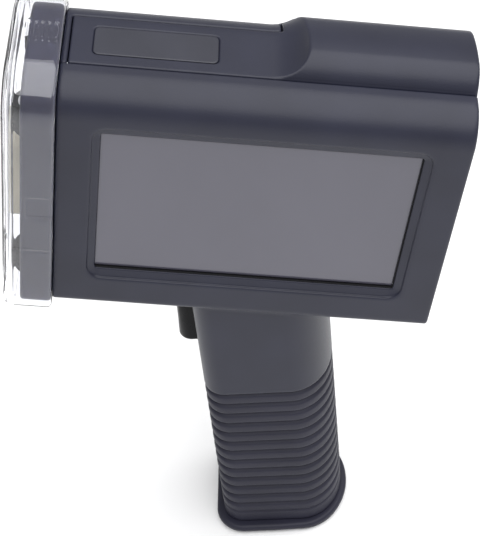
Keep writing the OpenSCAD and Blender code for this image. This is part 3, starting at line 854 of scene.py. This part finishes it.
upright_piece("finger_trigger", trigger, (TRIGGER_FRONT, -TRIGGER_HALF, TRIGGER_LOW),
              (TRIGGER_BACK, TRIGGER_HALF, TRIGGER_HIGH), (0.4, 0.4, 0.4),
              "trigger", "gloss_black", "trigger")
upright_piece("battery_catch", battery_button,
              (BUTTON_X - 5.5, BUTTON_Y - 0.6, BUTTON_Z - 6),
              (BUTTON_X + 5.5, GRIP_HALF + 1, BUTTON_Z + 6), (0.3, 0.3, 0.3),
              "battery_button", "gloss_black", "battery_button")
housing_piece("nose_frame", bezel, (BEZEL_FRONT, -HALF - 2, -2), (0, HALF + 2, TOP + 2),
              (0.5, 0.6, 0.6), "housing", "bezel_plastic", "nose_bezel")
housing_piece("clear_cup", cover, (COVER_FRONT, -HALF - 4, -4), (0, HALF + 4, TOP + 4),
              (0.4, 0.5, 0.5), "cover", "clear_cover", "protective_cover")
housing_piece("nozzle_seal", nozzle_pad, (COVER_FRONT, PAD[0], PAD[2]),
              (COVER_FRONT + 5, PAD[1], PAD[3]),
              (0.3, 0.4, 0.4), "cover", "seal_silicone", "nozzle_pad")
housing_piece("power_key", power_button, (POWER_BACK - 0.8, POWER_Y - 8, POWER_Z - 8),
              (POWER_FRONT, POWER_Y + 8, POWER_Z + 8),
              (0.25, 0.25, 0.25), "power_button", "gloss_black", "power_button")
housing_piece("ink_tank", cartridge_case, (SNOUT_X[0] - 0.8, -TANK_HALF - 0.5, TANK_Z[0]),
              (TANK_X[1], TANK_HALF + 0.5, TANK_Z[1]), (0.7, 0.6, 0.6),
              "cartridge", "ink_case", "cartridge_body")
housing_piece("ink_tank_cap", cartridge_cap, (CAP[0] - 0.5, -TANK_HALF - 0.5, CAP_Z[0]),
              (CAP[1] + 0.5, TANK_HALF + 0.5, CAP_Z[1]), (0.4, 0.5, 0.3),
              "cartridge", "ink_cap", "cartridge_cap")
for node, body, wheel_y, wheel_z in (
    ("guide_roller_top", "roller_top", ROLLER_Y, ROLLER_Z[1]),
    ("guide_roller_near", "roller_near", -ROLLER_Y, ROLLER_Z[0]),
    ("guide_roller_far", "roller_far", ROLLER_Y, ROLLER_Z[0]),
):
    housing_piece(node.replace("guide_", "tyred_"), roller(wheel_y, wheel_z, 5),
                  (ROLLER_X - ROLLER_R, wheel_y - ROLLER_R, wheel_z - ROLLER_H / 2),
                  (ROLLER_X + ROLLER_R, wheel_y + ROLLER_R, wheel_z + ROLLER_H / 2),
                  (0.35, 0.35, 0.2), body, "roller_rubber", node)

# ---- floor, light and camera ----


def floor(size, z, color, roughness):
    """A plain floor under the printer."""
    mat = bpy.data.materials.new("floor")
    mat.use_nodes = True
    bsdf = mat.node_tree.nodes["Principled BSDF"]
    bsdf.inputs["Base Color"].default_value = color
    bsdf.inputs["Roughness"].default_value = roughness
    mesh = bpy.data.meshes.new("floor")
    s = size / 2
    mesh.from_pydata([(-s, -s, z), (s, -s, z), (s, s, z), (-s, s, z)], [], [(0, 1, 2, 3)])
    mesh.materials.append(mat)
    obj = bpy.data.objects.new("floor", mesh)
    bpy.context.scene.collection.objects.link(obj)


def softbox(name, place, target, size, power):
    """A white rectangular light that faces its target."""
    light = bpy.data.lights.new(name, "AREA")
    light.shape = "RECTANGLE"
    light.size = size[0]
    light.size_y = size[1]
    light.energy = power
    obj = bpy.data.objects.new(name, light)
    obj.location = place
    obj.rotation_euler = (Vector(target) - Vector(place)).to_track_quat("-Z", "Y").to_euler()
    bpy.context.scene.collection.objects.link(obj)


# Metres and watts.
MIDDLE = (0, 0, 0.17)
FLOOR_GAP = 0.0002
FLOOR_COLOR = (0.9, 0.9, 0.905, 1)
floor(6.0, CAD_BOX[0][2] - FLOOR_GAP, FLOOR_COLOR, 0.7)
softbox("overhead", (0.3, -0.16, 1.35), MIDDLE, (2.4, 1.7), 38)
softbox("camera_side", (-0.9, -1.2, 0.9), MIDDLE, (1.0, 0.8), 1)

world = bpy.data.worlds.new("studio")
world.use_nodes = True
world.node_tree.nodes["Background"].inputs["Color"].default_value = (1, 1, 1, 1)
world.node_tree.nodes["Background"].inputs["Strength"].default_value = 0.5
bpy.context.scene.world = world
bpy.context.scene.view_settings.view_transform = "Standard"

# The camera stands square to the housing's frame before it is turned, raised and rolled.
CAMERA_AT = Vector((25.6, -380.2, 408.8))
CAMERA_TURN = math.radians(-5.58)
CAMERA_RISE = math.radians(47.255)
CAMERA_ROLL = math.radians(8.279)
CAMERA_LENS = 109.66

camera_data = bpy.data.cameras.new("camera")
camera_data.lens = CAMERA_LENS
camera_data.sensor_width = 36
camera_data.clip_start = 0.01
camera = bpy.data.objects.new("camera", camera_data)
backward = Vector((
    math.sin(CAMERA_TURN) * math.cos(CAMERA_RISE),
    -math.cos(CAMERA_TURN) * math.cos(CAMERA_RISE),
    math.sin(CAMERA_RISE),
))
level = Vector((math.cos(CAMERA_TURN), math.sin(CAMERA_TURN), 0))
upward = backward.cross(level)
right = level * math.cos(CAMERA_ROLL) + upward * math.sin(CAMERA_ROLL)
above = -level * math.sin(CAMERA_ROLL) + upward * math.cos(CAMERA_ROLL)
turn = HOUSING.to_3x3() @ Matrix((right, above, backward)).transposed()
camera.matrix_world = Matrix.Translation((HOUSING @ CAMERA_AT) * MM) @ turn.to_4x4()
bpy.context.scene.collection.objects.link(camera)
bpy.context.scene.camera = camera
